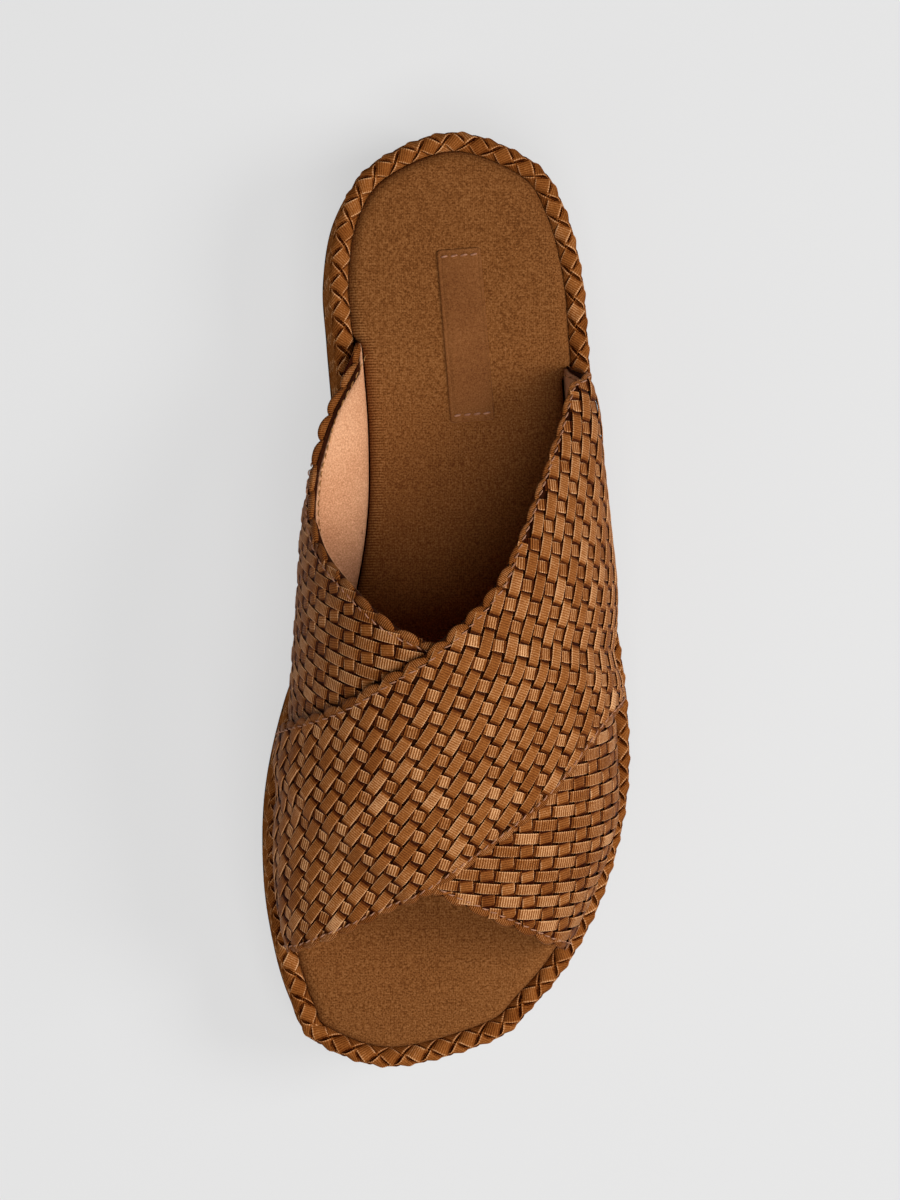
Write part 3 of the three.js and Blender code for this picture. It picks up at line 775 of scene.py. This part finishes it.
def band_sheet(name, band, low, high, inset, material):
    """Closed sheet of a band between two heights, its edges drawn in by inset."""
    rows, columns = 130, 26
    around = np.linspace(0, 1, rows)[:, None]
    collar = edge_y(band, "collar", around) - inset * edge_slant(band, "collar", around)
    front = edge_y(band, "front", around) + inset * edge_slant(band, "front", around)
    y = lerp(collar, front, np.linspace(0, 1, columns)[None])
    around = np.repeat(around, columns, 1)
    lift = band_lift(band, around, y)
    faces = [wall_point(around, y, level(lift, wall_at(around))) for level in (low, high)]
    index = np.arange(2 * rows * columns).reshape(2, rows, columns)
    inner, outer = index

    def rim(a, b):
        return np.stack([a[:-1], a[1:], b[1:], b[:-1]], -1)

    parts = [
        grid_quads(inner), grid_quads(outer)[:, ::-1], rim(inner[:, 0], outer[:, 0]),
        rim(outer[:, -1], inner[:, -1]), rim(outer[0], inner[0]), rim(inner[-1], outer[-1]),
    ]
    return add_mesh(name, np.stack(faces).reshape(-1, 3), parts, material)


def along_edge(band, edge, at, inset):
    """Points of the flattened last beside an edge, at distances along it."""
    line, inward = EDGES[band, edge]
    reach = np.arange(len(line)) * EDGE_STEP
    spot, side = along_line(at, reach, line), along_line(at, reach, inward)
    return spot[..., 0] + side[..., 0] * inset, spot[..., 1] + side[..., 1] * inset, side


def edge_frame(band, p, y, side, height):
    """Points beside an edge, with directions across the edge and out of the band."""
    place = band_place(band)
    step = 0.3
    centre = place(p, y, height)
    flat = np.zeros_like(p)
    wide = unit(
        place(p + side[..., 0] * step, y + side[..., 1] * step, flat)
        - place(p - side[..., 0] * step, y - side[..., 1] * step, flat)
    )
    normal = unit(place(p, y, flat + 1) - place(p, y, flat))
    return centre, wide, normal


CLEAR_CLIMB, CLEAR_COVER = 0.045, 3.0


def shown_stations(band, edge, pitch, inset):
    """Even distances along an edge, where it is clear of the rim and of the band over it."""
    at = np.arange(2 * inset, edge_length(band, edge) - 2 * inset, pitch)
    p, y, _ = along_edge(band, edge, at, inset)
    climb = around_at(p, y)
    climb = np.minimum(climb, 1 - climb)
    shown = climb > CLEAR_CLIMB
    if band == "under":
        shown &= inside_band("over", p, y) < CLEAR_COVER
    return at[shown]


LOBE_PITCH, LOBE_OVERLAP, LOBE_INSET = {"over": 6.1, "under": 7.2}, 1.24, 1.0
LOBE_THICKNESS, LOBE_TILT, LOBE_ARCH = {"over": 1.1, "under": 1.8}, (-0.2, 0.3), 0.25
LOBE_DEPTH = dict(zip(EDGES, (2.5, 2.0, 2.6, 2.6)))
LOBE_SHADE, LOBE_SHINE, LOBE_SPREAD, TONE_SPREAD = 0.3, 0.16, 0.03, 0.05
NARROW_DEPTH, NARROW_FROM, NARROW_TO = 1.3, 4.0, 14.0
STITCH_PITCH, STITCH_LENGTH, STITCH_SIZE, STITCH_HEIGHT = 2.5, 1.8, 0.2, 0.42
STITCH_INSET, STITCH_SLANT, STITCH_ARCH = 2.0, 0.18, 0.25


def lobe_depth(band, edge, at):
    """Depth of the turned ribbons at distances along an edge; the lateral collar has narrow ones."""
    _, y, _ = along_edge(band, edge, at, 0)
    narrow = smoothstep(y, NARROW_FROM, NARROW_TO) * ((band, edge) == ("over", "collar"))
    return lerp(LOBE_DEPTH[band, edge], NARROW_DEPTH, narrow)


def edge_lobes(band, edge):
    """The ribbons turned back at a band's edge, as shingled lobes."""
    length = edge_length(band, edge)
    stations = shown_stations(band, edge, LOBE_PITCH[band], LOBE_INSET)
    l = np.linspace(-1, 1, 13)
    at = np.clip(stations[:, None] + l[None] * LOBE_PITCH[band] * LOBE_OVERLAP / 2, 0, length)
    arch = np.maximum(1 - np.abs(l) ** 2.2, 0.03)
    base = lobe_depth(band, edge, stations)[:, None]
    half = arch ** 0.75 * (base + 0.3) / 2
    half = half * (1 + rng.normal(0, LOBE_SPREAD, (len(stations), 1)))
    p, y, side = along_edge(band, edge, at, base + 0.2 - half)
    thickness = LOBE_THICKNESS[band]
    height = lerp(*LOBE_TILT, (l + 1) / 2) + LOBE_ARCH * arch - thickness / 2
    height = np.broadcast_to(height, at.shape)
    centre, wide, normal = edge_frame(band, p, y, side, height)
    thick = np.broadcast_to(arch ** 0.5 * thickness / 2, at.shape)
    shade = LOBE_SHADE + LOBE_SHINE * arch + rng.normal(0, TONE_SPREAD, (len(stations), 1))
    add_beads(
        f"{band}_{edge}_edge", centre, wide * half[..., None], normal * thick[..., None], 10, RIBBED,
        shade,
    )


def stitch_swell(l, shape, size):
    """Half thickness of a stitch from end to end, rounded at its ends."""
    return np.broadcast_to(np.maximum(1 - l ** 4, 0.1) ** 0.5, shape)[..., None] * size


def stitch_row(name, band, edge, inset, height, material):
    """A row of short stitches beside an edge, at an inset or along its turned ribbons."""
    stations = shown_stations(band, edge, STITCH_PITCH, STITCH_INSET)
    l = np.linspace(-1, 1, 7)
    at = stations[:, None] + l[None] * STITCH_LENGTH / 2
    slant = lobe_depth(band, edge, stations) if inset is None else inset
    slant = np.broadcast_to(np.reshape(slant, (-1, 1)) + STITCH_SLANT * l, at.shape)
    p, y, side = along_edge(band, edge, at, slant)
    arch = np.broadcast_to(height + STITCH_ARCH * np.cos(l * math.pi / 2), at.shape)
    centre, wide, normal = edge_frame(band, p, y, side, arch)
    swell = stitch_swell(l, at.shape, STITCH_SIZE)
    add_beads(name, centre, wide * swell, normal * swell, 6, material)


LINING_THICKNESS, RIBBON_BED = 0.8, 0.62
LINING_INSET, LINING_SEAM, BACKING_INSET = {"over": 1.5, "under": 1.3}, 2.6, 0.9
BOND = 1 - BAND_BOND / WALL
for band in ("over", "under"):
    # Backing under the ribbons, near-black as painted shade in the gaps
    backing = band_sheet(
        f"{band}_backing", band, lambda lift, wall: lift * BOND + LINING_THICKNESS,
        lambda lift, wall: lift + wall - RIBBON_BED, BACKING_INSET, SHADOW_BACKING,
    )
    if band == "over":
        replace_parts(backing, "upper")
    band_sheet(
        f"{band}_lining", band, lambda lift, wall: lift * BOND,
        lambda lift, wall: lift * BOND + LINING_THICKNESS, LINING_INSET[band], LINING,
    )
    band_ribbons(band, "warp", SMOOTH if band == "over" else RIBBED)
    band_ribbons(band, "weft", RIBBED if band == "over" else SMOOTH)
    for edge in ("collar", "front"):
        edge_lobes(band, edge)
        stitch_row(f"{band}_{edge}_stitches", band, edge, None, STITCH_HEIGHT, THREAD)
    stitch_row(f"{band}_lining_stitches", band, "collar", LINING_SEAM, -WALL - 0.1, THREAD_GOLD)


# Rim
RIM_CORNERS = np.array([(4.3, 0.3), (4.75, 2.1), (3.9, 3.95), (2.2, 4.5), (0.55, 3.5), (0.0, 0.3)])
RIM_LINE = spline(RIM_CORNERS, 12)
RIM_REACH = path_lengths(RIM_LINE)
RIM_SLOPE = unit(np.gradient(RIM_LINE, RIM_REACH, axis=0))
RIM_MIDDLE, RIM_END = RIM_REACH[-1] * 0.46, 0.2
PLAITS, PLAIT_SHADE, PLAIT_GAIN, PLAIT_RANGE = 80, 0.06, 0.44, (-0.35, 0.5)
PLAIT_PITCH = PERIMETER / PLAITS
RIM_REPEAT, RIM_SWING, RIM_BASE, RIM_RIBBON, RIM_CORE = 5.2, 0.42, -0.1, 4.25, -0.75


def rim_place(u, v, height):
    """Maps distances round and over the rim, and a height over it, to points."""
    inward, up, d_in, d_up = (
        np.interp(v, RIM_REACH, values) for values in (*RIM_LINE.T, *RIM_SLOPE.T)
    )
    x, y = beside_rim(u, -inward - d_up * height)
    return np.stack([x, y, platform_top(y) + up - d_in * height], -1)


SIDE_ROWS, SIDE_REPEAT, SIDE_SWING, SIDE_BASE, SIDE_RIBBON, SIDE_CORE = 7, 2.0, 0.45, -0.65, 5.25, 1.35


def side_place(u, v, height):
    """Maps distances round the platform's side, rows up it and a height over it to points."""
    share = v / SIDE_ROWS
    x, y = beside_rim(u, lerp(SIDE_FLARE, 0, share) + height)
    low = floor_height(y) + OUTSOLE_THICKNESS
    return np.stack([x, y, lerp(low, platform_top(y), share)], -1)


def plait(name, place, turn, v, repeat, swing, base, width):
    """Two sets of ribbons that cross over and under each other on a band round the sole."""
    for sign, part in ((1, "a"), (-1, "b")):
        start = np.arange(PLAITS)[:, None] * PLAIT_PITCH
        u = start + sign * v[None] * PLAIT_PITCH / repeat
        phase = sign * np.cos(2 * math.pi * v / repeat)
        height = np.broadcast_to(base + swing * phase, u.shape)
        shade = PLAIT_SHADE + PLAIT_GAIN * smoothstep(phase, *PLAIT_RANGE)
        shade = shade + rng.normal(0, TONE_SPREAD, (PLAITS, 1))
        run = np.repeat(np.arange(PLAITS), len(v))
        rows = np.broadcast_to(v, u.shape).ravel()
        lay_ribbons(
            f"{name}_{part}", place, turn, u.ravel(), rows, height.ravel(), np.full(u.size, width), run,
            shade.ravel(), PLAIT,
        )


def rim_core():
    count, section = 480, np.linspace(0, RIM_REACH[-1], 18)
    u = np.repeat(np.arange(count)[:, None] * PERIMETER / count, len(section), 1)
    v = np.repeat(section[None], count, 0)
    points = rim_place(u, v, np.full(u.shape, RIM_CORE))
    index = np.arange(points[..., 0].size).reshape(count, len(section))
    there, over, both = np.roll(index, -1, 0), np.roll(index, -1, 1), np.roll(index, (-1, -1), (0, 1))
    quads = np.stack([index, there, both, over], -1).reshape(-1, 4)
    # Core under the rim plait, near-black as painted shade in its gaps
    return add_mesh("rim_core", points, [quads], SHADOW_BACKING)


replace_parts(rim_core(), "welt_braid")
plait(
    "rim_braid", lambda u, v, height: rim_place(u, v + RIM_MIDDLE, height), -1,
    np.linspace(RIM_END - RIM_MIDDLE, RIM_REACH[-1] - RIM_MIDDLE - RIM_END, 25), RIM_REPEAT, RIM_SWING,
    RIM_BASE, RIM_RIBBON,
)


# Platform
def outline_at(count, out):
    return beside_rim(np.arange(count) * PERIMETER / count, np.full(count, out))


def platform_core():
    rings = []
    for share in np.linspace(0, 1, 5):
        x, y = outline_at(360, lerp(SIDE_FLARE, 0, share) - SIDE_CORE)
        low = floor_height(y) + OUTSOLE_THICKNESS + 0.05
        rings.append(np.stack([x, y, lerp(low, platform_top(y), share)], -1))
    # Core under the side plait, near-black as painted shade in its gaps
    return ring_piece("platform_core", rings, SHADOW_BACKING)


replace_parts(platform_core(), "platform")
plait(
    "side_plait", side_place, 1, np.linspace(0.12, SIDE_ROWS - 0.05, 40), SIDE_REPEAT, SIDE_SWING,
    SIDE_BASE, SIDE_RIBBON,
)


# Outsole
TREAD_BORDER, TREAD_DEPTH, TREAD_PITCH, ZIGZAG_WIDTH, ZIGZAG_HEIGHT = 7.0, 1.1, 7.0, 16.0, 9.0
GROOVE, OUTSOLE_BEVEL = (0.16, 0.4), 1.6
OUTSOLE_EDGE = ((0.5, 0.45), (0.0, 1.6), (0.0, OUTSOLE_THICKNESS))


def outsole():
    """Rubber sheet with a bevelled edge and a shallow zigzag tread."""
    half, columns = 260, 60
    count = 2 * half
    x, y = outline_at(count, SIDE_FLARE - OUTSOLE_BEVEL)
    left = np.stack([x, y], -1)[1:half]
    right = np.stack([x, y], -1)[:half:-1]
    t = np.linspace(0, 1, columns + 1)[None, :, None]
    flat = lerp(left[:, None], right[:, None], t)
    depth = np.linalg.norm(flat - left[:, None], axis=-1)
    depth = np.minimum(depth, np.linalg.norm(flat - right[:, None], axis=-1))
    depth = np.minimum(depth, LENGTH / 2 - np.abs(flat[..., 1]))
    zigzag = np.abs((flat[..., 0] / ZIGZAG_WIDTH) % 2 - 1) * ZIGZAG_HEIGHT
    groove = np.abs(((flat[..., 1] + zigzag) / TREAD_PITCH) % 1 - 0.5) * 2
    cut = TREAD_DEPTH * (1 - smoothstep(groove, *GROOVE))
    cut = cut * smoothstep(depth, TREAD_BORDER - 1, TREAD_BORDER + 1)
    bottom = np.concatenate([flat, (floor_height(flat[..., 1]) + cut)[..., None]], -1)
    rows = half - 1
    tips = np.array([(x[i], y[i], floor_height(y[i])) for i in (0, half)])
    rings = []
    for inward, up in OUTSOLE_EDGE:
        rx, ry = outline_at(count, SIDE_FLARE - inward)
        rings.append(np.stack([rx, ry, floor_height(ry) + up], -1))
    points = np.vstack([bottom.reshape(-1, 3), tips, *rings])
    grid = np.arange(rows * (columns + 1)).reshape(rows, columns + 1)
    heel, toe = grid.size, grid.size + 1
    edge = np.concatenate([[heel], grid[:, 0], [toe], grid[::-1, -1]])
    loops = [edge] + [grid.size + 2 + k * count + np.arange(count) for k in range(len(rings))]
    lid_quads, lid_triangles = fan_pairs(count)
    top = loops[-1][0]
    faces = [
        grid_quads(grid), ring_quads(np.stack(loops))[:, ::-1],
        np.stack([np.full(columns, heel), grid[0, 1:], grid[0, :-1]], -1),
        np.stack([np.full(columns, toe), grid[-1, :-1], grid[-1, 1:]], -1),
        lid_quads[:, ::-1] + top, lid_triangles[:, ::-1] + top,
    ]
    return add_mesh("outsole_tread", points, faces, RUBBER)


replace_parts(outsole(), "outsole")


# Footbed
INSET_RAMP, SOFTENED = 0.02, 8


def insole_inset(y, lateral):
    """Distance from the rim's outline to the footbed, wider beside the bands."""
    along = y / LENGTH
    rear_end = np.where(lateral, LATERAL_REAR, BAND_REAR)
    rear = 1 - smoothstep(along - rear_end, -INSET_RAMP, 0.0)
    front = smoothstep(along, BAND_FRONT, BAND_FRONT + INSET_RAMP)
    return WELT_WIDTH + GAP + rear * front * (ROOT_WALL + 3 * GAP)


FOOTBED_SWELL, SWELL_MIDDLE, SWELL_WIDTH, EDGE_UP = 0.35, -2, 34, 2.4
# Zone along the medial edge for the painted rib contrast and painted shade
RIB_SHADE_FROM, RIB_SHADE_TO, RIB_SHADE_WIDTH = (-20, 5), (75, 100), (2.2, 4.4)


def footbed_swell(x):
    return FOOTBED_SWELL * np.exp(-((x - SWELL_MIDDLE) / SWELL_WIDTH) ** 4)


def footbed_surface(x, y):
    """Top of the footbed away from its rounded edge."""
    return platform_top(y) + INSOLE_THICKNESS + footbed_swell(x)


def footbed():
    """Padded footbed: rounded edge and a slightly swollen top."""
    half, columns = 200, 36
    count = 2 * half
    rim_x, rim_y = outline_at(count, 0.0)
    inset = insole_inset(rim_y, np.arange(count) > half)
    at = np.arange(count) * PERIMETER / count
    normal = along_line(at, RIM_AT, RIM_OUT, PERIMETER)
    rim = np.stack([rim_x, rim_y], -1)
    turned = [np.roll(normal, turn, axis=0) for turn in range(-SOFTENED, SOFTENED + 1)]
    soft_normal = unit(np.mean(turned, axis=0))
    edge_levels = [(0.5, 0.3), (0.1, 1.2), (0.0, EDGE_UP)]
    for angle in np.linspace(0.15, 1.0, 7) * math.pi / 2:
        edge_levels.append((
            INSOLE_ROUND * 1.5 * (1 - math.cos(angle)), lerp(EDGE_UP, INSOLE_THICKNESS, math.sin(angle)),
        ))
    rings = []
    for inward, up in edge_levels:
        flat = rim - normal * inset[:, None] - soft_normal * inward
        swell = footbed_swell(flat[:, 0]) * up / INSOLE_THICKNESS
        rings.append(np.column_stack([flat, platform_top(flat[:, 1]) + up + swell]))
    ring = rings[-1]
    left, right = ring[1:half, :2], ring[:half:-1, :2]
    t = np.linspace(0, 1, columns + 1)[1:-1][None, :, None]
    flat = lerp(left[:, None], right[:, None], t)
    top = np.concatenate([flat, footbed_surface(flat[..., 0], flat[..., 1])[..., None]], -1)
    base = np.vstack(rings)
    points = np.vstack([base, top.reshape(-1, 3)])
    index = np.arange(len(base)).reshape(len(rings), count)
    inner = len(base) + np.arange(top[..., 0].size).reshape(half - 1, columns - 1)
    crown = index[-1]
    grid = np.column_stack([crown[1:half], inner, crown[:half:-1]])
    heel = np.stack([np.full(columns, crown[0]), grid[0, :-1], grid[0, 1:]], -1)
    toe = np.stack([np.full(columns, crown[half]), grid[-1, 1:], grid[-1, :-1]], -1)
    lid_quads, lid_triangles = fan_pairs(count)
    faces = [
        ring_quads(index), grid_quads(grid)[:, [0, 3, 2, 1]], heel, toe,
        lid_quads[:, ::-1], lid_triangles[:, ::-1],
    ]
    # Painted shade along the medial edge, with stronger rib contrast as in grazing light, passed as the
    # shade attribute
    edge = (points[:, None, :2] - (rim - normal * inset[:, None])[None, :half]) ** 2
    edge = np.sqrt(edge.sum(-1).min(1))
    ribbed = (1 - smoothstep(edge, *RIB_SHADE_WIDTH)) * smoothstep(points[:, 1], *RIB_SHADE_FROM)
    ribbed = ribbed * (1 - smoothstep(points[:, 1], *RIB_SHADE_TO))
    return add_mesh("footbed", points, faces, CLOTH, points[:, :2], ribbed)


pad = footbed()
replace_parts(pad, "insole")


# Label
def label_spot(across, along):
    """Point of the footbed's plane from a place on the label."""
    cos, sin = math.cos(LABEL_TURN), math.sin(LABEL_TURN)
    return LABEL_AT[0] + across * cos - along * sin, LABEL_AT[1] + across * sin + along * cos


LABEL_UP, LABEL_CORNER, LABEL_SEAM, LABEL_STITCH = 0.62, 0.9, 1.9, 0.3
SEAM_HALF, SEAM_STITCHES = 4.1, 4


def label_ring(inset, up):
    """A rounded ring round the label, drawn in by inset and up over the footbed."""
    half_width, half_length = LABEL_WIDTH / 2 - inset, LABEL_LENGTH / 2 - inset
    radius = max(LABEL_CORNER - inset, 0.2)
    line = []
    for cx, cy, start in ((-1, 1, 90), (-1, -1, 180), (1, -1, 270), (1, 1, 0)):
        for angle in np.radians(start + np.linspace(0, 90, 6)):
            line.append((
                cx * (half_width - radius) + radius * math.cos(angle),
                cy * (half_length - radius) + radius * math.sin(angle),
            ))
    line = np.array(line)
    line = np.vstack([(0, half_length), line, (0, half_length)])
    reach = path_lengths(line)
    at = np.linspace(0, reach[-1], 240, endpoint=False)
    across, along = along_line(at, reach, line).T
    x, y = label_spot(across, along)
    return np.stack([x, y, footbed_surface(x, y) + up], -1)


label = ring_piece(
    "footbed_label",
    [
        label_ring(inset, up) for inset, up in (
            (0.0, -0.3), (0.0, 0.36), (0.1, 0.53), (0.32, LABEL_UP), (0.75, LABEL_UP),
            (0.95, LABEL_UP - 0.12), (1.15, LABEL_UP), (2.2, LABEL_UP + 0.02),
            (4.0, LABEL_UP + 0.04), (5.6, LABEL_UP + 0.05),
        )
    ],
    LABEL,
)
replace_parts(label, "insole_label")


def label_stitches():
    l = np.linspace(-1, 1, 7)
    across = np.tile(np.linspace(-SEAM_HALF, SEAM_HALF, SEAM_STITCHES), 2)[:, None] + l[None] * 0.95
    seam = LABEL_LENGTH / 2 - LABEL_SEAM
    along = np.repeat([seam, -seam], SEAM_STITCHES)[:, None] + 0.12 * l[None]
    x, y = label_spot(across, along)
    z = footbed_surface(x, y) + LABEL_UP + 0.16 * np.cos(l * math.pi / 2)[None]
    centre = np.stack([x, y, z], -1)
    swell = stitch_swell(l, across.shape, LABEL_STITCH)
    wide = np.array([-math.sin(LABEL_TURN), math.cos(LABEL_TURN), 0]) * swell
    thick = np.array([0, 0, 1.0]) * swell
    add_beads("label_stitches", centre, wide, thick, 6, THREAD)


label_stitches()


# Stage, lights and camera, in metres
AIM = Vector((0, 0, 0.035))
FLOOR_HALF, FLOOR_GREY, FLOOR_GLOW, SKY = 4, (0.18, 0.18, 0.18, 1), 0.58, 0.025


def floor_piece():
    mesh = bpy.data.meshes.new("floor")
    corners = [(x * FLOOR_HALF, y * FLOOR_HALF, 0) for x, y in ((-1, -1), (1, -1), (1, 1), (-1, 1))]
    mesh.from_pydata(corners, [], [(0, 1, 2, 3)])
    material, _, shader = new_material("floor_paper", 0.95, 0.1, WHITE)
    set_inputs(shader, Base_Color=FLOOR_GREY, Emission_Color=WHITE, Emission_Strength=FLOOR_GLOW)
    mesh.materials.append(material)
    floor = add_object("floor", mesh)


def area_light(name, place, size, power):
    light = bpy.data.lights.new(name, "AREA")
    light.size = size
    light.energy = power
    lamp = add_object(name, light)
    lamp.location = place
    lamp.rotation_euler = (AIM - Vector(place)).to_track_quat("-Z", "Y").to_euler()


floor_piece()
area_light("key", (1.0, 0.05, 0.95), 0.6, 13.2)
area_light("top", (0.1, -0.5, 1.65), 0.9, 18.6)
area_light("fill", (-0.8, -0.7, 1.1), 0.9, 3)

world = bpy.data.worlds.new("studio")
world.use_nodes = True
set_inputs(world.node_tree.nodes["Background"], Color=WHITE, Strength=SKY)
bpy.context.scene.world = world
bpy.context.scene.view_settings.view_transform = "Standard"

camera_data = bpy.data.cameras.new("camera")
camera_data.lens = 108
camera_data.sensor_width = 36
camera_data.clip_start, camera_data.clip_end = 0.05, 20
camera = add_object("camera", camera_data)
camera.location = (-0.061, 0, 1.036)
back = (camera.location - AIM).normalized()
right = Vector((0, 1, 0)).cross(back).normalized()
camera.rotation_euler = Matrix((right, back.cross(right), back)).transposed().to_euler()
bpy.context.scene.camera = camera
